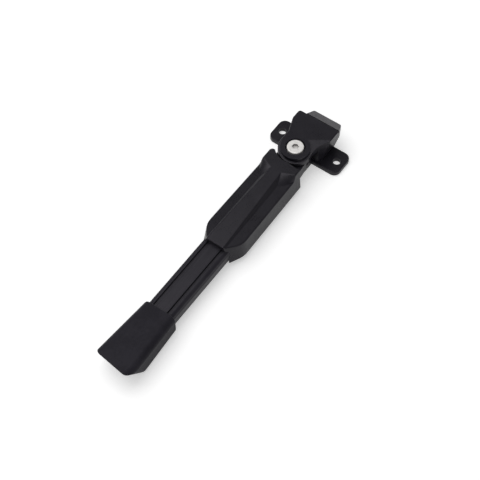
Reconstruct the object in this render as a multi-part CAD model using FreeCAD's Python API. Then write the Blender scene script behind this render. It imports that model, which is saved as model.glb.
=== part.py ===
import FreeCAD, Part
import math
import os

# Electric scooter kickstand: a cast bracket with two bolt tabs, a clevis that holds the
# swinging arm on a vertical pivot bolt, a bar nested in the arm, and a rubber foot.
# Every piece is drawn about the pivot axis and moved to the part's origin when it is saved.
# +X points from the bracket to the foot, +Y to the side the arm folds to, +Z out of the flange.

# Mounting flange
FLANGE_THICKNESS = 4.0
TAB_WIDTH = 23.4
TAB_CORNER_RADIUS = 6.0
TAB_END_MARGIN = 7.3
TAB_EDGE_RADIUS = 0.7
HOLE_SPACING = 54.0
HOLE_DIAMETER = 6.5

# Pivot place, measured from the middle between the two tab holes
PIVOT_X = 22.4
PIVOT_Y = 0.0

# Bracket block and ears
BRACKET_HEIGHT = 27.3
BLOCK_LEFT = 18.9
BLOCK_RIGHT = 20.1
BLOCK_LEAN = 9.5
BLOCK_JOG_START = -24.2
BLOCK_JOG_END = -11.6
BLOCK_CORNER_RADIUS = 2.5
BLOCK_JOG_RADIUS = 4.0
WING_CORNER_RADIUS = 1.5
WING_END_X = -20.3
WING_SAG_X = -13.6
WING_SAG_Y = 15.4
EAR_RADIUS = 14.2
EAR_LEAVE_ANGLE = 104.0
EAR_THICKNESS = 7.5
EAR_EDGE_RADIUS = 1.2
LOWER_EAR_THICKNESS = 7.0
LOWER_EAR_RADIUS = 10.0
HEEL_LENGTH = 9.6
HEEL_LEFT = 11.8
HEEL_RIGHT = 19.8
HEEL_TIP_TAPER_LEFT = 1.2
HEEL_TIP_TAPER_RIGHT = 3.6
HEEL_SLOPE = 28.0
HEEL_LIP = 2.0
HEEL_UNDERCUT = 21.0
HEEL_CORNER_RADIUS = 2.0
HEEL_EDGE_RADIUS = 0.8
FACET_START_X = -11.6
FACET_START_Y = 4.4
FACET_END_X = -22.7
FACET_SLOPE = 11.0
FACET_BOSS_RADIUS = 12.4

# Pivot bolt, nut, sleeve, bush and washers
BOLT_DIAMETER = 8.0
BOLT_HEAD_DIAMETER = 14.0
BOLT_HEAD_HEIGHT = 4.4
BOLT_HEAD_EDGE = 0.9
BOLT_SOCKET_ACROSS_FLATS = 5.0
BOLT_SOCKET_DEPTH = 2.6
BOLT_HOLE_CLEARANCE = 0.2
COUNTERBORE_DIAMETER = 16.6
COUNTERBORE_DEPTH = 4.0
NUT_ACROSS_FLATS = 13.0
NUT_HEIGHT = 4.0
NUT_CHAMFER = 0.5
NUT_POCKET_CLEARANCE = 0.15
NUT_SET_BACK = 0.3
SLEEVE_DIAMETER = 12.0
SLEEVE_BORE_CLEARANCE = 0.1
SLEEVE_RUNNING_CLEARANCE = 0.05
BUSH_WALL = 1.25
WASHER_DIAMETER = 24.0
WASHER_THICKNESS = 0.8
WASHER_BORE_CLEARANCE = 0.2
WASHER_RUNNING_CLEARANCE = 0.1

# Fold stops and detent
FOLD_ANGLE = 85.0
TONGUE_RADIUS = 12.2
TONGUE_REAR_CLEARANCE = 0.3
STOP_GAP = 0.1
STOP_KEEP_OFF = 4.4
STOP_END = 9.0
PLUNGER_DIAMETER = 7.0
PLUNGER_CLEARANCE = 0.05
PLUNGER_LENGTH = 10.0
PLUNGER_TRAVEL = 1.2
PLUNGER_TIP_CLEARANCE = 0.3
PLUNGER_POCKET_DIAMETER = 5.2
PLUNGER_POCKET_DEPTH = 5.0
NOTCH_CLEARANCE = 0.15
SPRING_DIAMETER = 4.6
SPRING_WIRE = 0.8
SPRING_TURNS = 6
SPRING_LENGTH = 9.0

# Upper arm
ARM_BOTTOM = 4.6
ARM_FRONT = 11.0
ARM_FRONT_HALF_WIDTH = 16.3
ARM_HALF_WIDTH = 17.35
ARM_DRAFT = 1.6
ARM_TAPER_START = 97.5
ARM_TAPER_RADIUS = 18.0
ARM_END = 109.8
ARM_END_HALF_WIDTH = 8.7
ARM_FOOT_END = 108.6
ARM_FOOT_END_HALF_WIDTH = 13.8
ARM_SPARE = 5.0
CREASE_RADIUS = 1.2
UNDERSIDE_RADIUS = 1.0
SHOULDER_EDGE_RADIUS = 0.6
SHOULDER_RADIUS = 16.4
SHOULDER_LEFT_ANGLE = -75.0
SHOULDER_STRAIGHT_ANGLE = 10.0
SHOULDER_RIGHT_X = 17.0
SHOULDER_RIGHT_Y = 16.0
HORN_RADIUS = 3.0
SHELF_RISE = 11.0
SHELF_STEP = 0.95
HEAD_HEIGHT = 27.0
HEAD_SPREAD = 0.6
HEAD_END_SIDE = 22.8
HEAD_END_MIDDLE = 27.5
HEAD_FOOT_SIDE = 24.4
HEAD_OVERRUN = 1.3
PLATEAU_HALF_WIDTH = 4.7
PLATEAU_END_HALF_WIDTH = 8.2
PLATEAU_END_HEIGHT = 23.6
PLATEAU_FOOT_X = 44.6
PLATEAU_FOOT_HALF_WIDTH = 10.4
PLATEAU_ROOT = 0.5

# Leg bar, nested in the arm's underside
LEG_START = 53.0
LEG_END = 219.0
LEG_TOP = 18.2
LEG_HALF_WIDTH = 12.1
LEG_BEVEL_WIDTH = 2.5
LEG_BEVEL_DROP = 1.0
LEG_SIDE_WIDTH = 0.9
LEG_SIDE_DROP = 2.4
LEG_LOWER_CHAMFER = 2.8
LEG_EDGE_RADIUS = 0.4
LEG_RAIL_WIDTH = 1.0
LEG_GROOVE_WIDTH = 2.4
LEG_GROOVE_DEPTH = 1.6
LEG_SEAT_CLEARANCE = 0.15
LEG_SCREW_FIRST = 66.0
LEG_SCREW_SPACING = 28.0
LEG_SCREW_DIAMETER = 5.0
LEG_SCREW_HEAD_DIAMETER = 9.6
LEG_SCREW_HEAD_HEIGHT = 2.5
LEG_SCREW_SINK = 0.3
LEG_SCREW_BITE = 4.0
LEG_SCREW_SOCKET = 3.0
LEG_SCREW_SOCKET_DEPTH = 1.6
LEG_SCREW_CLEARANCE = 0.1

# Rubber foot
BOOT_START = 178.5
BOOT_END = 238.0
BOOT_START_HALF_WIDTH = 14.2
BOOT_END_HALF_WIDTH = 17.5
BOOT_START_TOP = 20.8
BOOT_END_TOP = 23.6
BOOT_TOP_RADIUS = 5.5
BOOT_BOTTOM_RADIUS = 4.5
BOOT_SOLE_UNDERCUT = 17.0
BOOT_SOLE_SKEW = 6.5
BOOT_RIM_RADIUS = 1.4
BOOT_SPARE = 10.0

# Heights and places that follow from the sizes above
EAR_BOTTOM = BRACKET_HEIGHT - EAR_THICKNESS
COUNTERBORE_FLOOR = BRACKET_HEIGHT - COUNTERBORE_DEPTH
TONGUE_BOTTOM = LOWER_EAR_THICKNESS + WASHER_THICKNESS + WASHER_RUNNING_CLEARANCE
TONGUE_TOP = EAR_BOTTOM - WASHER_THICKNESS - WASHER_RUNNING_CLEARANCE
TONGUE_MIDDLE = (TONGUE_BOTTOM + TONGUE_TOP) / 2
THROAT_X = -TONGUE_RADIUS - TONGUE_REAR_CLEARANCE
STOP_RADIUS = TONGUE_RADIUS + TONGUE_REAR_CLEARANCE - STOP_GAP
FLANGE_MIDDLE_X = -PIVOT_X
FLANGE_MIDDLE_Y = -PIVOT_Y
BLOCK_FAR_X = FLANGE_MIDDLE_X - TAB_WIDTH / 2
TAB_REACH = HOLE_SPACING / 2 + TAB_END_MARGIN
BUSH_RADIUS = SLEEVE_DIAMETER / 2 + SLEEVE_RUNNING_CLEARANCE + BUSH_WALL
NOSE_RADIUS = PLUNGER_DIAMETER / 2
PLUNGER_TIP_X = -TONGUE_RADIUS - PLUNGER_TIP_CLEARANCE
PLUNGER_BACK_X = PLUNGER_TIP_X - PLUNGER_LENGTH
SPRING_FRONT_X = PLUNGER_BACK_X + PLUNGER_POCKET_DEPTH
SPRING_BACK_X = SPRING_FRONT_X - SPRING_LENGTH
HEAD_HALF_WIDTH = ARM_FRONT_HALF_WIDTH + HEAD_SPREAD
SHELF_SLOPE = math.tan(math.radians(SHELF_RISE))
SHELF_HEIGHT = PLATEAU_END_HEIGHT - SHELF_STEP
ARM_EDGE_HEIGHT = SHELF_HEIGHT - (ARM_HALF_WIDTH - PLATEAU_END_HALF_WIDTH) * SHELF_SLOPE
LEG_CROWN_HALF_WIDTH = LEG_HALF_WIDTH - LEG_SIDE_WIDTH - LEG_BEVEL_WIDTH
LEG_SCREW_HEAD_Z = ARM_BOTTOM + LEG_SCREW_SINK
LEG_SCREW_TIP_Z = LEG_TOP + LEG_SCREW_BITE
REACH = 400.0
UP = FreeCAD.Vector(0, 0, 1)
ALONG = FreeCAD.Vector(1, 0, 0)
ACROSS = FreeCAD.Vector(0, 1, 0)


def point(x, y, z=0.0):
    return FreeCAD.Vector(x, y, z)


def polar(radius, angle, z=0.0):
    turn = math.radians(angle)
    return point(radius * math.cos(turn), radius * math.sin(turn), z)


def closed_wire(points):
    return Part.makePolygon(points + [points[0]])


def prism(points, bottom, top):
    """Upright prism over a plan outline given as points with no height."""
    face = Part.Face(closed_wire([point(p.x, p.y, bottom) for p in points]))
    return face.extrude(point(0, 0, top - bottom))


def arc(start, through, end):
    return Part.Arc(start, through, end).toShape()


def disc(radius, bottom, top, x=0.0, y=0.0):
    return Part.makeCylinder(radius, top - bottom, point(x, y, bottom), UP)


def rod(radius, start, end, height):
    return Part.makeCylinder(radius, end - start, point(start, 0, height), ALONG)


def hexagon(across_flats, bottom, top):
    corner = across_flats / math.sqrt(3)
    return prism([polar(corner, 60 * step) for step in range(6)], bottom, top)


def block(low, high):
    return Part.makeBox(high[0] - low[0], high[1] - low[1], high[2] - low[2], point(*low))


def upright_edges(shape, x=None):
    """Edges that run along Z, all of them or those at one X."""
    found = []
    for edge in shape.Edges:
        first = edge.Vertexes[0].Point
        last = edge.Vertexes[-1].Point
        if math.hypot(first.x - last.x, first.y - last.y) > 1e-6:
            continue
        if x is None or abs(first.x - x) < 1e-6:
            found.append(edge)
    return found


def level_edges(shape, height):
    """Edges that lie flat at one height."""
    found = []
    for edge in shape.Edges:
        box = edge.BoundBox
        if abs(box.ZMin - height) < 1e-6 and abs(box.ZMax - height) < 1e-6:
            found.append(edge)
    return found


def bracket_outline():
    """Plan of the block and the top ear: the left side steps in to the ear, the right side sags."""
    far_left = point(BLOCK_FAR_X, -BLOCK_LEFT)
    jog_start = point(BLOCK_JOG_START, -BLOCK_LEFT)
    jog_end = point(BLOCK_JOG_END, -EAR_RADIUS)
    far_right = point(BLOCK_FAR_X, BLOCK_RIGHT)
    wing_end = point(WING_END_X, BLOCK_RIGHT)
    touch = point(0, -EAR_RADIUS)
    leave = polar(EAR_RADIUS, EAR_LEAVE_ANGLE)
    edges = [
        Part.makeLine(far_left, jog_start),
        Part.makeLine(jog_start, jog_end),
        Part.makeLine(jog_end, touch),
        arc(touch, point(EAR_RADIUS, 0), leave),
        arc(leave, point(WING_SAG_X, WING_SAG_Y), wing_end),
        Part.makeLine(wing_end, far_right),
        Part.makeLine(far_right, far_left),
    ]
    return Part.Face(Part.Wire(edges))


def bracket_heel():
    """Far end of the block: its top slopes away, its sides draw in and it is undercut below the lip."""
    tip_x = BLOCK_FAR_X - HEEL_LENGTH
    drop = HEEL_LENGTH * math.tan(math.radians(HEEL_SLOPE))
    plan = [
        point(BLOCK_FAR_X, -HEEL_LEFT),
        point(BLOCK_FAR_X, HEEL_RIGHT),
        point(tip_x, HEEL_RIGHT - HEEL_TIP_TAPER_RIGHT),
        point(tip_x, -HEEL_LEFT + HEEL_TIP_TAPER_LEFT),
    ]
    body = prism(plan, 0, BRACKET_HEIGHT)
    body = body.makeFillet(HEEL_CORNER_RADIUS, upright_edges(body, tip_x))
    side = [
        point(BLOCK_FAR_X, -REACH, BRACKET_HEIGHT),
        point(BLOCK_FAR_X - REACH, -REACH, BRACKET_HEIGHT - REACH * drop / HEEL_LENGTH),
        point(BLOCK_FAR_X - REACH, -REACH, BRACKET_HEIGHT + REACH),
    ]
    above = Part.Face(closed_wire(side)).extrude(point(0, 2 * REACH, 0))
    body = body.cut(above)
    rim = []
    for edge in body.Edges:
        farthest = min(corner.X for corner in edge.Vertexes)
        lowest = min(corner.Z for corner in edge.Vertexes)
        if farthest < BLOCK_FAR_X - HEEL_CORNER_RADIUS and lowest > BRACKET_HEIGHT / 2:
            rim.append(edge)
    body = body.makeFillet(HEEL_EDGE_RADIUS, rim)
    lip = BRACKET_HEIGHT - drop - HEEL_LIP
    side = [
        point(tip_x, -REACH, lip),
        point(tip_x + lip * math.tan(math.radians(HEEL_UNDERCUT)), -REACH, 0),
        point(tip_x - REACH, -REACH, 0),
        point(tip_x - REACH, -REACH, lip),
    ]
    return body.cut(Part.Face(closed_wire(side)).extrude(point(0, 2 * REACH, 0)))


def bracket_facet():
    """Wedge that lowers the top of the right wing, away from the round ear."""
    start = point(FACET_START_X, FACET_START_Y, BRACKET_HEIGHT)
    end = point(FACET_END_X, BLOCK_RIGHT, BRACKET_HEIGHT)
    along = (end - start).normalize()
    across = along.cross(UP)
    drop = UP * -math.tan(math.radians(FACET_SLOPE))
    span = REACH / 4
    corner = start - along * span
    outline = [
        corner,
        corner + (across + drop) * span,
        corner + (across + UP) * span,
        corner + UP * span,
    ]
    wedge = Part.Face(closed_wire(outline)).extrude(along * 2 * span)
    return wedge.cut(disc(FACET_BOSS_RADIUS, 0, BRACKET_HEIGHT + span))


def bracket_lean():
    """Wedge that undercuts the block's right wall, which leans in towards the flange."""
    foot_y = BLOCK_RIGHT - BRACKET_HEIGHT * math.tan(math.radians(BLOCK_LEAN))
    outline = [
        point(-REACH, BLOCK_RIGHT, BRACKET_HEIGHT),
        point(-REACH, foot_y, 0),
        point(-REACH, REACH, 0),
        point(-REACH, REACH, BRACKET_HEIGHT),
    ]
    return Part.Face(closed_wire(outline)).extrude(point(REACH, 0, 0))


def make_bracket():
    outline = bracket_outline()
    upper = outline.extrude(point(0, 0, BRACKET_HEIGHT))
    upper = upper.makeFillet(BLOCK_CORNER_RADIUS, upright_edges(upper, BLOCK_FAR_X))
    upper = upper.makeFillet(BLOCK_JOG_RADIUS, upright_edges(upper, BLOCK_JOG_START))
    upper = upper.makeFillet(BLOCK_JOG_RADIUS, upright_edges(upper, BLOCK_JOG_END))
    upper = upper.makeFillet(WING_CORNER_RADIUS, upright_edges(upper, WING_END_X))
    upper = upper.makeFillet(EAR_EDGE_RADIUS, level_edges(upper, BRACKET_HEIGHT))
    slot = block((THROAT_X, -REACH, -1), (REACH, REACH, EAR_BOTTOM))
    body = upper.cut(slot).fuse(bracket_heel()).removeSplitter().cut(bracket_lean())
    lower_ear = block((THROAT_X - 1, -LOWER_EAR_RADIUS, 0), (0, LOWER_EAR_RADIUS, LOWER_EAR_THICKNESS))
    lower_ear = lower_ear.fuse(disc(LOWER_EAR_RADIUS, 0, LOWER_EAR_THICKNESS))
    flange = block(
        (BLOCK_FAR_X, FLANGE_MIDDLE_Y - TAB_REACH, 0),
        (BLOCK_FAR_X + TAB_WIDTH, FLANGE_MIDDLE_Y + TAB_REACH, FLANGE_THICKNESS),
    )
    flange = flange.makeFillet(TAB_CORNER_RADIUS, upright_edges(flange))
    flange = flange.makeFillet(TAB_EDGE_RADIUS, level_edges(flange, FLANGE_THICKNESS))
    body = body.fuse([lower_ear, flange]).removeSplitter()
    body = body.cut(bracket_facet())
    cuts = [
        disc(COUNTERBORE_DIAMETER / 2, COUNTERBORE_FLOOR, BRACKET_HEIGHT + 1),
        disc(BOLT_DIAMETER / 2 + BOLT_HOLE_CLEARANCE, -1, BRACKET_HEIGHT),
        hexagon(NUT_ACROSS_FLATS + 2 * NUT_POCKET_CLEARANCE, -1, NUT_HEIGHT + NUT_SET_BACK),
        rod(PLUNGER_DIAMETER / 2 + PLUNGER_CLEARANCE, SPRING_BACK_X, THROAT_X + 1, TONGUE_MIDDLE),
    ]
    for side in (-1, 1):
        hole_y = FLANGE_MIDDLE_Y + side * HOLE_SPACING / 2
        cuts.append(disc(HOLE_DIAMETER / 2, -1, BRACKET_HEIGHT, FLANGE_MIDDLE_X, hole_y))
    return body.cut(cuts)


def make_bolt():
    rim = BOLT_HEAD_DIAMETER / 2
    head = disc(rim, COUNTERBORE_FLOOR, COUNTERBORE_FLOOR + BOLT_HEAD_HEIGHT)
    head = head.makeFillet(BOLT_HEAD_EDGE, level_edges(head, COUNTERBORE_FLOOR + BOLT_HEAD_HEIGHT))
    shank = disc(BOLT_DIAMETER / 2, NUT_SET_BACK, COUNTERBORE_FLOOR)
    top = COUNTERBORE_FLOOR + BOLT_HEAD_HEIGHT
    socket = hexagon(BOLT_SOCKET_ACROSS_FLATS, top - BOLT_SOCKET_DEPTH, top + 1)
    return head.fuse(shank).removeSplitter().cut(socket)


def make_nut():
    body = hexagon(NUT_ACROSS_FLATS, NUT_SET_BACK, NUT_SET_BACK + NUT_HEIGHT)
    corner = NUT_ACROSS_FLATS / math.sqrt(3)
    crown = disc(corner, NUT_SET_BACK, NUT_SET_BACK + NUT_HEIGHT)
    crown = crown.makeChamfer(NUT_CHAMFER, level_edges(crown, NUT_SET_BACK))
    return body.common(crown).cut(disc(BOLT_DIAMETER / 2, -1, REACH))


def make_sleeve():
    bore = BOLT_DIAMETER / 2 + SLEEVE_BORE_CLEARANCE
    tube = disc(SLEEVE_DIAMETER / 2, LOWER_EAR_THICKNESS, EAR_BOTTOM)
    return tube.cut(disc(bore, 0, BRACKET_HEIGHT))


def make_bush():
    bore = SLEEVE_DIAMETER / 2 + SLEEVE_RUNNING_CLEARANCE
    return disc(BUSH_RADIUS, TONGUE_BOTTOM, TONGUE_TOP).cut(disc(bore, 0, BRACKET_HEIGHT))


def make_washer(bottom):
    bore = SLEEVE_DIAMETER / 2 + WASHER_BORE_CLEARANCE
    return disc(WASHER_DIAMETER / 2, bottom, bottom + WASHER_THICKNESS).cut(disc(bore, 0, BRACKET_HEIGHT))


def make_plunger():
    centre = PLUNGER_TIP_X - NOSE_RADIUS
    body = rod(PLUNGER_DIAMETER / 2, PLUNGER_BACK_X, centre, TONGUE_MIDDLE)
    nose = Part.makeSphere(NOSE_RADIUS, point(centre, 0, TONGUE_MIDDLE))
    pocket = rod(PLUNGER_POCKET_DIAMETER / 2, PLUNGER_BACK_X - 1, SPRING_FRONT_X, TONGUE_MIDDLE)
    return body.fuse(nose).removeSplitter().cut(pocket)


def make_spring():
    """Compression spring behind the plunger, one flat-sided wire on a helix along X."""
    pitch = (SPRING_LENGTH - SPRING_WIRE) / SPRING_TURNS
    inner = SPRING_DIAMETER / 2 - SPRING_WIRE
    outer = SPRING_DIAMETER / 2
    half = SPRING_WIRE / 2
    helix = Part.makeHelix(pitch, SPRING_LENGTH - SPRING_WIRE, (inner + outer) / 2)
    corners = [point(inner, 0, -half), point(outer, 0, -half), point(outer, 0, half), point(inner, 0, half)]
    coil = Part.Wire(helix.Edges).makePipeShell([closed_wire(corners)], True, True)
    coil.rotate(point(0, 0, 0), ACROSS, 90)
    coil.translate(point(SPRING_BACK_X + half, 0, TONGUE_MIDDLE))
    return coil


def plateau_height(x):
    """Height of the sloping plateau, from the head down to the arm's end."""
    return HEAD_HEIGHT + (PLATEAU_END_HEIGHT - HEAD_HEIGHT) * (x - ARM_FRONT) / (ARM_END - ARM_FRONT)


def mirrored(half):
    """Closed outline from the points of its right half, front to end."""
    return half + [point(p.x, -p.y, p.z) for p in reversed(half)]


def loft(lower, upper):
    return Part.makeLoft([closed_wire(lower), closed_wire(upper)], True, True)


def arm_plan(height):
    """Plan of the drafted side walls at one height."""
    rise = (height - ARM_BOTTOM) / (ARM_EDGE_HEIGHT - ARM_BOTTOM)
    draft = ARM_DRAFT * (1 - rise)
    end_x = ARM_FOOT_END + (ARM_END - ARM_FOOT_END) * rise
    end_y = ARM_FOOT_END_HALF_WIDTH + (ARM_END_HALF_WIDTH - ARM_FOOT_END_HALF_WIDTH) * rise
    half = [
        point(ARM_FRONT, ARM_FRONT_HALF_WIDTH + draft, height),
        point(ARM_TAPER_START, ARM_HALF_WIDTH + draft, height),
        point(end_x, end_y, height),
    ]
    return mirrored(half)


def edges_at_x(shape, x):
    """Edges whose ends all lie at one X, off the middle plane."""
    found = []
    for edge in shape.Edges:
        first = edge.Vertexes[0].Point
        last = edge.Vertexes[-1].Point
        if abs(first.x - x) < 0.001 and abs(last.x - x) < 0.001 and first.y * last.y > 0:
            found.append(edge)
    return found


def arm_walls():
    """Side walls from the underside to above the head, with round corners."""
    body = loft(arm_plan(ARM_BOTTOM), arm_plan(HEAD_HEIGHT + ARM_SPARE))
    body = body.makeFillet(ARM_TAPER_RADIUS, edges_at_x(body, ARM_TAPER_START))
    return body.makeFillet(HORN_RADIUS, edges_at_x(body, ARM_FRONT))


def arm_roof():
    """Low roof whose two slopes are the shelves beside the plateau."""
    ridge = (PLATEAU_HALF_WIDTH + PLATEAU_END_HALF_WIDTH) / 2
    wide = ARM_HALF_WIDTH + ARM_SPARE
    half = [
        point(0, wide, ARM_BOTTOM),
        point(0, wide, SHELF_HEIGHT - (wide - PLATEAU_END_HALF_WIDTH) * SHELF_SLOPE),
        point(0, ridge, SHELF_HEIGHT + (PLATEAU_END_HALF_WIDTH - ridge) * SHELF_SLOPE),
    ]
    return Part.Face(closed_wire(mirrored(half))).extrude(point(REACH, 0, 0))


def arm_plateau():
    """Raised top: full width at the head, then a bevelled strip that dies out at the end."""
    far = ARM_END + ARM_SPARE
    root = ARM_EDGE_HEIGHT - PLATEAU_ROOT
    corner = point(HEAD_END_MIDDLE, PLATEAU_HALF_WIDTH)
    outer = corner + (point(HEAD_END_SIDE, HEAD_HALF_WIDTH) - corner) * HEAD_OVERRUN
    top = [point(0, outer.y), outer, corner, point(far, PLATEAU_END_HALF_WIDTH)]
    top = [point(p.x, p.y, plateau_height(p.x)) for p in top]
    corner = point(PLATEAU_FOOT_X, PLATEAU_FOOT_HALF_WIDTH)
    outer = corner + (point(HEAD_FOOT_SIDE, HEAD_HALF_WIDTH) - corner) * HEAD_OVERRUN
    foot = [point(0, outer.y), outer, corner, point(far, PLATEAU_FOOT_HALF_WIDTH)]
    foot = [point(p.x, p.y, root) for p in foot]
    return loft(mirrored(foot), mirrored(top))


def arm_creases(shape):
    """Edges of the top faces, apart from those at the lower end."""
    found = []
    for edge in shape.Edges:
        corners = [corner.Point for corner in edge.Vertexes]
        lowest = min(corner.z for corner in corners)
        nearest = min(corner.x for corner in corners)
        if lowest > ARM_EDGE_HEIGHT - PLATEAU_ROOT and nearest < ARM_FOOT_END:
            found.append(edge)
    return found


def arm_underside(shape):
    """Edges of the underside, apart from the two that run straight across."""
    found = []
    for edge in level_edges(shape, ARM_BOTTOM):
        if edge.BoundBox.XLength > HORN_RADIUS / 2:
            found.append(edge)
    return found


def arm_shoulder(shape):
    """Top edges left where the shoulders are cut round the ear."""
    found = []
    for edge in shape.Edges:
        corners = [corner.Point for corner in edge.Vertexes]
        lowest = min(corner.z for corner in corners)
        farthest = max(corner.x for corner in corners)
        if lowest > HEAD_HEIGHT - SHOULDER_EDGE_RADIUS and farthest < SHOULDER_RIGHT_X:
            found.append(edge)
    return found


def arm_front_cutter():
    """Space kept clear in front of the shoulders, so that the arm passes round the ear."""
    left = polar(SHOULDER_RADIUS, SHOULDER_LEFT_ANGLE)
    right = polar(SHOULDER_RADIUS, SHOULDER_STRAIGHT_ANGLE)
    middle = polar(SHOULDER_RADIUS, (SHOULDER_STRAIGHT_ANGLE + SHOULDER_LEFT_ANGLE) / 2)
    corner = point(SHOULDER_RIGHT_X, SHOULDER_RIGHT_Y)
    beyond = corner + (corner - right)
    behind = -EAR_RADIUS
    edges = [
        arc(left, middle, right),
        Part.makeLine(right, beyond),
        Part.makeLine(beyond, point(behind, beyond.y)),
        Part.makeLine(point(behind, beyond.y), point(behind, left.y)),
        Part.makeLine(point(behind, left.y), left),
    ]
    return Part.Face(Part.Wire(edges)).extrude(point(0, 0, 2 * BRACKET_HEIGHT))


def arm_tongue():
    """Tongue between the ears, with a square stop for each end of the swing."""
    round_end = disc(TONGUE_RADIUS, TONGUE_BOTTOM, TONGUE_TOP)
    web = block((0, -TONGUE_RADIUS, TONGUE_BOTTOM), (SHOULDER_RIGHT_X, TONGUE_RADIUS, TONGUE_TOP))
    rear_stop = block((-STOP_RADIUS, -STOP_END, TONGUE_BOTTOM), (0, -STOP_KEEP_OFF, TONGUE_TOP))
    fold_stop = block((-STOP_RADIUS, STOP_KEEP_OFF, TONGUE_BOTTOM), (0, SHOULDER_RIGHT_X, TONGUE_TOP))
    fold_stop.rotate(point(0, 0, 0), UP, -FOLD_ANGLE)
    return round_end.fuse([web, rear_stop, fold_stop])


def detent_notches():
    """Round dimples in the tongue's rim, one where the plunger rests at each end."""
    centre = PLUNGER_TIP_X + PLUNGER_TRAVEL - NOSE_RADIUS
    deployed = Part.makeSphere(NOSE_RADIUS + NOTCH_CLEARANCE, point(centre, 0, TONGUE_MIDDLE))
    folded = deployed.copy()
    folded.rotate(point(0, 0, 0), UP, -FOLD_ANGLE)
    return [deployed, folded]


def leg_screw_places():
    return [LEG_SCREW_FIRST, LEG_SCREW_FIRST + LEG_SCREW_SPACING]


def leg_hull(start, end, gap):
    """Leg bar without its grooves, grown by a gap on every side."""
    half = [
        point(start - gap, LEG_HALF_WIDTH - LEG_LOWER_CHAMFER + gap, ARM_BOTTOM - gap),
        point(start - gap, LEG_HALF_WIDTH + gap, ARM_BOTTOM + LEG_LOWER_CHAMFER - gap),
        point(start - gap, LEG_HALF_WIDTH + gap, LEG_TOP - LEG_BEVEL_DROP - LEG_SIDE_DROP + gap),
        point(start - gap, LEG_HALF_WIDTH - LEG_SIDE_WIDTH + gap, LEG_TOP - LEG_BEVEL_DROP + gap),
        point(start - gap, LEG_CROWN_HALF_WIDTH + gap, LEG_TOP + gap),
    ]
    return Part.Face(closed_wire(mirrored(half))).extrude(point(end - start + 2 * gap, 0, 0))


def make_arm():
    body = arm_walls().common(arm_roof().fuse(arm_plateau())).removeSplitter()
    body = body.makeFillet(CREASE_RADIUS, arm_creases(body))
    body = body.makeFillet(UNDERSIDE_RADIUS, arm_underside(body))
    body = body.cut(arm_front_cutter())
    body = body.makeFillet(SHOULDER_EDGE_RADIUS, arm_shoulder(body))
    body = body.fuse(arm_tongue()).removeSplitter()
    wide = LEG_HALF_WIDTH + LEG_SEAT_CLEARANCE
    cuts = [
        leg_hull(LEG_START, REACH, LEG_SEAT_CLEARANCE),
        block((LEG_START - LEG_SEAT_CLEARANCE, -wide, 0), (REACH, wide, ARM_BOTTOM + LEG_LOWER_CHAMFER)),
        disc(BUSH_RADIUS, 0, BRACKET_HEIGHT),
    ]
    cuts += detent_notches()
    for x in leg_screw_places():
        cuts.append(disc(LEG_SCREW_DIAMETER / 2, ARM_BOTTOM, LEG_SCREW_TIP_Z, x))
    return body.cut(cuts)


def make_leg():
    body = leg_hull(LEG_START, LEG_END, 0)
    groove_outer = LEG_CROWN_HALF_WIDTH - LEG_RAIL_WIDTH
    groove_inner = groove_outer - LEG_GROOVE_WIDTH
    groove = block((0, groove_inner, LEG_TOP - LEG_GROOVE_DEPTH), (REACH, groove_outer, REACH))
    body = body.cut([groove, groove.mirror(point(0, 0, 0), ACROSS)])
    lengthwise = [edge for edge in body.Edges if edge.BoundBox.XLength > LEG_START]
    body = body.makeFillet(LEG_EDGE_RADIUS, lengthwise)
    return body.cut([leg_screw(x, LEG_SCREW_CLEARANCE) for x in leg_screw_places()])


def leg_screw(x, gap):
    """Countersunk screw seen from below, or its hole when it is grown by a gap."""
    head = LEG_SCREW_HEAD_DIAMETER / 2 + gap
    shank = LEG_SCREW_DIAMETER / 2 + gap
    cone = Part.makeCone(head, shank, LEG_SCREW_HEAD_HEIGHT, point(x, 0, LEG_SCREW_HEAD_Z), UP)
    body = cone.fuse(disc(shank, LEG_SCREW_HEAD_Z, LEG_SCREW_TIP_Z, x))
    if gap > 0:
        body = body.fuse(disc(head, ARM_BOTTOM, LEG_SCREW_HEAD_Z, x))
    return body.removeSplitter()


def make_leg_screws():
    socket = hexagon(LEG_SCREW_SOCKET, 0, LEG_SCREW_HEAD_Z + LEG_SCREW_SOCKET_DEPTH)
    screws = []
    for x in leg_screw_places():
        hole = socket.copy()
        hole.translate(point(x, 0, 0))
        screws.append(leg_screw(x, 0).cut(hole))
    return Part.makeCompound(screws)


def boot_sole_plane():
    """A point and the outward normal of the sole, which slants back and is skewed in plan."""
    slant = math.atan2(BOOT_SOLE_UNDERCUT, BOOT_END_TOP)
    skew = math.radians(BOOT_SOLE_SKEW)
    level = math.cos(slant)
    normal = point(level * math.cos(skew), -level * math.sin(skew), -math.sin(slant))
    return point(BOOT_END, 0, BOOT_END_TOP), normal


def boot_rim(shape):
    """Edges round the sole and round the open end."""
    spot, normal = boot_sole_plane()
    found = []
    for edge in shape.Edges:
        on_sole = all(abs((corner.Point - spot).dot(normal)) < 0.001 for corner in edge.Vertexes)
        on_front = all(abs(corner.X - BOOT_START) < 0.001 for corner in edge.Vertexes)
        if on_sole or on_front:
            found.append(edge)
    return found


def boot_edges(shape, high):
    """Lengthwise edges between the sides and the top, or the sides and the underside."""
    found = []
    for edge in shape.Edges:
        first = edge.Vertexes[0].Point
        last = edge.Vertexes[-1].Point
        lengthwise = abs(first.x - last.x) > BOOT_SOLE_UNDERCUT and first.y * last.y > 0
        if lengthwise and (first.z > BOOT_START_TOP / 2) == high:
            found.append(edge)
    return found


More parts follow.
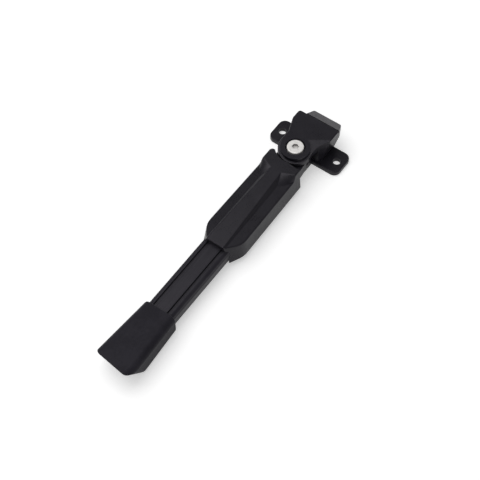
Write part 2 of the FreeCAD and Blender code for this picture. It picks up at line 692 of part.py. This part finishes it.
def make_boot():
    """Rubber foot: it widens to the end, where the sole slants back underneath."""
    stretch = (BOOT_END + BOOT_SPARE - BOOT_START) / (BOOT_END - BOOT_START)
    wide = BOOT_START_HALF_WIDTH + (BOOT_END_HALF_WIDTH - BOOT_START_HALF_WIDTH) * stretch
    high = BOOT_START_TOP + (BOOT_END_TOP - BOOT_START_TOP) * stretch
    far = BOOT_END + BOOT_SPARE
    plan = mirrored([point(BOOT_START, BOOT_START_HALF_WIDTH), point(far, wide)])
    side = [
        point(BOOT_START, -REACH, 0),
        point(far, -REACH, 0),
        point(far, -REACH, high),
        point(BOOT_START, -REACH, BOOT_START_TOP),
    ]
    body = prism(plan, -1, REACH).common(Part.Face(closed_wire(side)).extrude(point(0, 2 * REACH, 0)))
    spot, normal = boot_sole_plane()
    body = body.cut(Part.makeCylinder(REACH, REACH, spot, normal))
    body = body.makeFillet(BOOT_TOP_RADIUS, boot_edges(body, True))
    body = body.makeFillet(BOOT_BOTTOM_RADIUS, boot_edges(body, False))
    body = body.makeFillet(BOOT_RIM_RADIUS, boot_rim(body))
    return body.cut(leg_hull(BOOT_START - BOOT_SPARE, LEG_END, 0))


def save(name, shape):
    placed = shape.copy()
    placed.translate(point(PIVOT_X, PIVOT_Y, 0))
    placed.exportStep("parts/" + name + ".step")
    print(name, "solids", len(placed.Solids), "valid", placed.isValid(), "volume", round(placed.Volume, 1))


os.makedirs("parts", exist_ok=True)
save("mounting_bracket", make_bracket())
save("pivot_bolt", make_bolt())
save("pivot_nut", make_nut())
save("pivot_sleeve", make_sleeve())
save("lower_thrust_washer", make_washer(LOWER_EAR_THICKNESS))
save("upper_thrust_washer", make_washer(EAR_BOTTOM - WASHER_THICKNESS))
save("detent_plunger", make_plunger())
save("detent_spring", make_spring())
save("arm_housing", make_arm())
save("pivot_bush", make_bush())
save("leg_bar", make_leg())
save("leg_screws", make_leg_screws())
save("foot_boot", make_boot())
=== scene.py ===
import math

import bmesh
import bpy
from mathutils import Matrix, Vector


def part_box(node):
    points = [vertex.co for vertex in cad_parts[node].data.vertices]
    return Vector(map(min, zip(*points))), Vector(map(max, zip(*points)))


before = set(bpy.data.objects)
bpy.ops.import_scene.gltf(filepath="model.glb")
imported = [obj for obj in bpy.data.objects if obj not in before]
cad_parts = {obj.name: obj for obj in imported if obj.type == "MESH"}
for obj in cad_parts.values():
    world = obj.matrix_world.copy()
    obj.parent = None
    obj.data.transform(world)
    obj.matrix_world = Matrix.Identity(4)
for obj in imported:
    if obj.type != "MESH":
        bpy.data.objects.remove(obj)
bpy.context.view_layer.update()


# Mounting bracket: one aluminium casting with two bolt tabs, a block and the upper and lower ear.
# It is shot-blasted, then coated in semi-gloss black that shows the fine grain of the casting.
class Socket:
    """A socket of a material's nodes. Arithmetic on it adds Math nodes."""

    def __init__(self, tree, output):
        self.tree = tree
        self.output = output

    def node(self, kind, settings, sockets, output=0):
        """Adds one node: its settings first, then the values or links of its sockets."""
        made = self.tree.nodes.new(kind)
        for name, value in settings.items():
            setattr(made, name, value)
        for name, value in sockets.items():
            if isinstance(value, Socket):
                self.tree.links.new(value.output, made.inputs[name])
            else:
                made.inputs[name].default_value = value
        return Socket(self.tree, made.outputs[output])

    def into(self, node, name):
        """Links this socket to an input of a shader."""
        self.tree.links.new(self.output, node.inputs[name])

    def vector(self, operation, other, output="Vector"):
        """Vector Math on this socket and another vector."""
        settings = {"operation": operation}
        return self.node("ShaderNodeVectorMath", settings, {0: self, 1: other}, output)

    def math(self, operation, first, second):
        return self.node("ShaderNodeMath", {"operation": operation}, {0: first, 1: second})

    def __add__(self, other):
        return self.math("ADD", self, other)

    def __radd__(self, other):
        return self.math("ADD", other, self)

    def __sub__(self, other):
        return self.math("SUBTRACT", self, other)

    def __rsub__(self, other):
        return self.math("SUBTRACT", other, self)

    def __mul__(self, other):
        return self.math("MULTIPLY", self, other)

    def __rmul__(self, other):
        return self.math("MULTIPLY", other, self)


def new_finish(name):
    """A material with its Principled shader and a piece's Object coordinates."""
    material = bpy.data.materials.new(name)
    material.use_nodes = True
    tree = material.node_tree
    shader = tree.nodes["Principled BSDF"]
    place = Socket(tree, None).node("ShaderNodeTexCoord", {}, {}, "Object")
    return material, shader, place


def grain(place, size, detail=2.0):
    """Noise whose grains are about one size across, from 0 to 1."""
    sockets = {"Vector": place, "Scale": 1 / size, "Detail": detail}
    return place.node("ShaderNodeTexNoise", {}, sockets)


def band(value, low, high):
    """0 below the low end, 1 above the high end, smooth between."""
    sockets = {"Value": value, "From Min": low, "From Max": high}
    return value.node("ShaderNodeMapRange", {"interpolation_type": "SMOOTHSTEP"}, sockets)


def uneven(level, noise, swing):
    """A level that a noise raises and lowers by half of the swing."""
    return level + (noise - 0.5) * swing


def scaled(colour, times):
    """A colour made darker or paler as a whole."""
    return tuple(part * times for part in colour)


def blend_colour(factor, first, second):
    """Mixes two colours, the second where the factor is 1."""
    start = first if isinstance(first, Socket) else (*first, 1)
    # A Mix node has sockets for each kind of data: 6 and 7 take its colours, 2 gives their mix.
    sockets = {0: factor, 6: start, 7: (*second, 1)}
    return factor.node("ShaderNodeMix", {"data_type": "RGBA"}, sockets, 2)


def bump(height, distance, strength, normal=None):
    """Relief as deep as the distance, laid over an earlier bump where one is given."""
    sockets = {"Height": height, "Distance": distance, "Strength": strength}
    if normal:
        sockets["Normal"] = normal
    return height.node("ShaderNodeBump", {}, sockets)


def painted_highlight_edges(place, reach, ragged):
    """1 along edges within reach, broken up by a noise, 0 on the faces between: where the colour
    gets a painted highlight.
    """
    rounded = place.node("ShaderNodeBevel", {"samples": 6}, {"Radius": reach})
    unrounded = place.node("ShaderNodeNewGeometry", {}, {}, "Normal")
    agreement = rounded.vector("DOT_PRODUCT", unrounded, "Value")
    return band(1 - agreement, low=0.01, high=0.10) * band(ragged, low=0.40, high=0.62)


coating_grain = 0.0007
coating_grain_depth = 0.00018
coating_pores = 0.0022
coating_patches = 0.016
coating_ripple_depth = 0.0006
coating_roughness = 0.32
coating_specular = 0.3
# Width and paleness of the painted highlight along the edges, and how much glossier the edges are
# made.
highlight_edge_width = 0.0007
painted_highlight_paleness = 3.5
edge_gloss = 0.06
violet_tint = (0.97, 0.93, 1, 1)


def black_coating(name, dark, pale, ripple):
    """Black coating over a blasted casting: fine grain, slow ripples, patches of gloss, a painted
    highlight along the edges.
    """
    material, shader, place = new_finish(name)
    fine = grain(place, coating_grain)
    pores = grain(place, coating_pores, detail=3.0)
    patches = grain(place, coating_patches)
    mottle = band(patches * 0.6 + pores * 0.4, low=0.35, high=0.65)
    highlight_and_gloss = painted_highlight_edges(place, highlight_edge_width, pores)
    coat = blend_colour(mottle, dark, pale)
    # Paler colour along the edges is a painted highlight; lower roughness there also makes the
    # edges glossier.
    blend_colour(highlight_and_gloss, coat, scaled(pale, painted_highlight_paleness)).into(shader, "Base Color")
    shader.inputs["Specular IOR Level"].default_value = coating_specular
    shader.inputs["Specular Tint"].default_value = violet_tint
    roughness = uneven(uneven(coating_roughness, patches, swing=0.16), fine, swing=0.24)
    (roughness - highlight_and_gloss * edge_gloss).into(shader, "Roughness")
    slow = bump(patches, coating_ripple_depth, ripple)
    blasted = bump(fine * 0.7 + pores * 0.3, coating_grain_depth, strength=0.6, normal=slow)
    blasted.into(shader, "Normal")
    return material


def dress(name, material):
    """Gives a CAD node its finish in place of the one it came with."""
    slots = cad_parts[name].data.materials
    slots.clear()
    slots.append(material)


bracket_dark = (0.0100, 0.0094, 0.0130)
bracket_pale = (0.0130, 0.0122, 0.0165)
bracket_coating = black_coating("bracket_coating", bracket_dark, bracket_pale, ripple=0.10)
dress("mounting_bracket", bracket_coating)


# Pivot bolt: turned steel screw with a low head and a hexagon socket, bright zinc plated.
# It drops through both ears from above and is held by the nut under the flange.
# The socket's wall gets painted shade between its mouth and floor depths, inside its corner
# radius.
pivot = (0.0224, 0.0, 0.0)
head_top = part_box("pivot_bolt")[1][2]
socket_mouth = (0.0001, 0.0005)
socket_floor = (0.0022, 0.0025)
socket_corner = (0.0029, 0.0031)
socket_shade = 0.25
turning_pitch = 0.0003
plating_scratches = 0.0004
plating_spots = 0.0035
plating_depth = 0.00003
dull_shade = 0.86
bolt_zinc = (0.92, 0.90, 0.88)


def bright_plating(name, colour, roughness, metal):
    """Zinc plate over turned steel: faint rings about the pivot, fine scratches, dull spots."""
    material, shader, place = new_finish(name)
    spots = grain(place, plating_spots, detail=3.0)
    fine = grain(place, plating_scratches)
    radius = place.vector("MULTIPLY", (1, 1, 0)).vector("DISTANCE", pivot, "Value")
    turns = radius * (2 * math.pi / turning_pitch)
    rings = turns.node("ShaderNodeMath", {"operation": "SINE"}, {0: turns})
    depth = head_top - place.node("ShaderNodeSeparateXYZ", {}, {"Vector": place}, "Z")
    between = band(depth, *socket_mouth) * (1 - band(depth, *socket_floor))
    painted_socket_shade = between * (1 - band(radius, *socket_corner))
    plate = blend_colour(band(spots, low=0.4, high=0.7), colour, scaled(colour, dull_shade))
    # Inside the socket the colour is darkened to a quarter: painted shade.
    blend_colour(painted_socket_shade, plate, scaled(colour, socket_shade)).into(shader, "Base Color")
    shader.inputs["Metallic"].default_value = metal
    scratched = uneven(uneven(roughness, spots, swing=0.14), fine, swing=0.10)
    (scratched + rings * 0.02).into(shader, "Roughness")
    bump(rings * 0.4 + fine, plating_depth, strength=0.4).into(shader, "Normal")
    return material


dress("pivot_bolt", bright_plating("bolt_plating", bolt_zinc, roughness=0.56, metal=0.6))


# Other steel of the pivot and the detent: nut, sleeve, plunger and spring, plated and ground.
# The nut lies in its pocket under the flange, the rest sits unseen inside the clevis.
ground_steel = (0.62, 0.61, 0.60)
for name in ("pivot_nut", "pivot_sleeve", "detent_plunger", "detent_spring"):
    dress(name, bright_plating(name + "_steel", ground_steel, roughness=0.36, metal=1))


# Pivot bush: sintered bronze ring, brown and finely porous.
# It is pressed into the arm's tongue and turns on the sleeve.
bronze = (0.50, 0.33, 0.16)
stained_bronze = (0.40, 0.25, 0.12)
material, shader, place = new_finish("sintered_bronze")
pores = grain(place, size=0.0006, detail=3.0)
stain = grain(place, size=0.005)
blend_colour(band(stain, low=0.3, high=0.7), bronze, stained_bronze).into(shader, "Base Color")
shader.inputs["Metallic"].default_value = 1
uneven(0.38, pores, swing=0.3).into(shader, "Roughness")
bump(pores, distance=0.00003, strength=0.4).into(shader, "Normal")
dress("pivot_bush", material)


# Thrust washers: two discs punched from sheets of natural nylon.
# One lies on each side of the tongue and keeps it from rubbing on the ears.
nylon = (0.62, 0.61, 0.57)
aged_nylon = (0.55, 0.54, 0.49)
for name in ("lower_thrust_washer", "upper_thrust_washer"):
    material, shader, place = new_finish(name + "_nylon")
    cloud = grain(place, size=0.004)
    fine = grain(place, size=0.0005)
    blend_colour(band(cloud, low=0.3, high=0.7), nylon, aged_nylon).into(shader, "Base Color")
    shader.inputs["Subsurface Weight"].default_value = 0.05
    uneven(0.45, fine, swing=0.2).into(shader, "Roughness")
    bump(fine, distance=0.00002, strength=0.3).into(shader, "Normal")
    dress(name, material)


# Arm housing: die-cast upper arm with a creased top, in the same black coating as the bracket.
# Its tongue turns between the bracket's ears on the bush.
arm_dark = (0.0098, 0.0093, 0.0128)
arm_pale = (0.0128, 0.0121, 0.0163)
dress("arm_housing", black_coating("arm_coating", arm_dark, arm_pale, ripple=0.12))


# Leg bar: drawn aluminium bar with two long grooves, anodised a satin black.
# It is slid into the arm's open underside and held there by two countersunk screws.
bar_dark = (0.0165, 0.0155, 0.0205)
bar_pale = (0.0255, 0.0241, 0.0303)
drawn_along = (0.012, 1, 1)
material, shader, place = new_finish("bar_anodising")
stretched = place.vector("MULTIPLY", drawn_along)
lines = grain(stretched, size=0.0003)
broad_lines = grain(stretched, size=0.0018)
fine = grain(place, size=0.0006)
patches = grain(place, size=0.012)
streaks = band(lines * 0.35 + broad_lines * 0.4 + patches * 0.25, low=0.38, high=0.62)
blend_colour(streaks, bar_dark, bar_pale).into(shader, "Base Color")
shader.inputs["Specular IOR Level"].default_value = 0.24
shader.inputs["Specular Tint"].default_value = violet_tint
uneven(uneven(0.37, lines, swing=0.34), patches, swing=0.14).into(shader, "Roughness")
bump(lines * 0.6 + fine * 0.4, distance=0.00008, strength=0.5).into(shader, "Normal")
dress("leg_bar", material)


# Leg screws: two countersunk socket screws of steel, zinc plated.
# They are set in from the arm's underside and hold the bar in its seat.
screw_zinc = (0.52, 0.51, 0.50)
dull_zinc = (0.40, 0.39, 0.38)
material, shader, place = new_finish("screw_plating")
spots = grain(place, size=0.002, detail=3.0)
fine = grain(place, size=0.0004)
blend_colour(band(spots, low=0.35, high=0.65), screw_zinc, dull_zinc).into(shader, "Base Color")
shader.inputs["Metallic"].default_value = 1
uneven(0.34, spots, swing=0.2).into(shader, "Roughness")
bump(fine, distance=0.00002, strength=0.3).into(shader, "Normal")
dress("leg_screws", material)


# Foot: moulded black rubber, pulled over the end of the bar. Its sole slants to meet the ground.
# The skin is matt and finely grained, with a faint bloom in broad patches.
foot_dark = (0.0190, 0.0180, 0.0232)
foot_bloom = (0.0252, 0.0240, 0.0304)
material, shader, place = new_finish("foot_rubber")
fine = grain(place, size=0.0006, detail=3.0)
pores = grain(place, size=0.0025, detail=3.0)
bloom = grain(place, size=0.022)
mottle = band(bloom * 0.7 + pores * 0.3, low=0.38, high=0.62)
blend_colour(mottle, foot_dark, foot_bloom).into(shader, "Base Color")
shader.inputs["Specular IOR Level"].default_value = 0.08
shader.inputs["Specular Tint"].default_value = violet_tint
uneven(uneven(0.42, bloom, swing=0.18), fine, swing=0.26).into(shader, "Roughness")
slow = bump(bloom, distance=0.0008, strength=0.12)
skin = bump(fine * 0.6 + pores * 0.4, distance=0.00024, strength=0.6, normal=slow)
skin.into(shader, "Normal")
dress("foot_boot", material)


# Stage: a pale table top that reads as white to the camera and keeps the stand's soft shadow.
# Its lift is weaker where the stand mirrors it, so that the coated walls stay dark.
floor_height = -0.0002
floor_reach = 4
floor_white = (0.88, 0.88, 0.88, 1)
camera_lift = 0.43
mirror_lift = 0.20
sheet = bmesh.new()
under_stand = Matrix.Translation((0, 0, floor_height))
bmesh.ops.create_grid(sheet, x_segments=1, y_segments=1, size=floor_reach, matrix=under_stand)
mesh = bpy.data.meshes.new("table_top")
sheet.to_mesh(mesh)
sheet.free()
table_top = bpy.data.objects.new("table_top", mesh)
bpy.context.collection.objects.link(table_top)
material, shader, place = new_finish("table_white")
shader.inputs["Base Color"].default_value = floor_white
shader.inputs["Roughness"].default_value = 0.9
shader.inputs["Specular IOR Level"].default_value = 0.1
rays = ("Is Camera Ray", "Is Glossy Ray", "Is Transmission Ray")
seen, mirrored, through = [place.node("ShaderNodeLightPath", {}, {}, ray) for ray in rays]
lift = seen * camera_lift + (mirrored + through) * mirror_lift
blend_colour(lift, (0, 0, 0), (1, 1, 1)).into(shader, "Emission Color")
shader.inputs["Emission Strength"].default_value = 1
mesh.materials.append(material)


# Light: one large soft box high on the left, in a plain room that lights the stand all round.
# The room is darker in three places and brighter low down on the right and behind,
# so that the black faces part from each other.
key_place = Vector((0.24, -0.42, 1.19))
key_target = Vector((0.12, 0, 0))
key_lamp = bpy.data.lights.new("key_box", "AREA")
key_lamp.size = 1.1
key_lamp.energy = 7.2
key_box = bpy.data.objects.new("key_box", key_lamp)
bpy.context.collection.objects.link(key_box)
key_box.location = key_place
key_box.rotation_euler = (key_place - key_target).to_track_quat("Z", "Y").to_euler()

room_level = 0.5
side_shade = 0.36
rear_shade = 0.18
right_power = 0.4
rear_power = 1.6
world = bpy.data.worlds.new("studio")
bpy.context.scene.world = world
world.use_nodes = True
room = world.node_tree.nodes["Background"]
room.inputs["Color"].default_value = (1, 1, 1, 1)
direction = Socket(world.node_tree, None).node("ShaderNodeTexCoord", {}, {}, "Generated")


def towards(way, low, high):
    """1 about one direction of the room. The two cosines say how far round it the edge lies."""
    return band(direction.vector("DOT_PRODUCT", way, "Value"), low, high)


height = direction.node("ShaderNodeSeparateXYZ", {}, {"Vector": direction}, "Z")
low_down = 1 - band(height, low=0.10, high=0.28)
right_dark = towards((-0.35, 0.80, 0.48), low=0.6, high=0.92)
left_dark = towards((-0.40, -0.88, 0.25), low=0.8, high=0.97)
rear_dark = towards((-0.45, -0.30, 0.84), low=0.94, high=0.99)
right_glow = low_down * towards((-0.6, 0.8, 0), low=0.2, high=0.8)
rear_glow = low_down * towards((-0.95, -0.3, 0), low=0.6, high=0.9)
shade = (right_dark + left_dark) * side_shade + rear_dark * rear_shade
glow = right_glow * right_power + rear_glow * rear_power
(room_level - shade + glow).into(room, "Strength")


# Camera: a long lens that looks down on the stand as it lies on the table.
# Its place and turn were fitted to the outline of the real stand.
camera = bpy.data.objects.new("camera", bpy.data.cameras.new("camera"))
bpy.context.collection.objects.link(camera)
camera.data.lens = 89.29
camera.location = (0.51954, 0.30045, 0.79502)
camera.rotation_euler = [math.radians(angle) for angle in (32.55, 0.0, 125.55)]
bpy.context.scene.camera = camera
bpy.context.scene.view_settings.view_transform = "Standard"
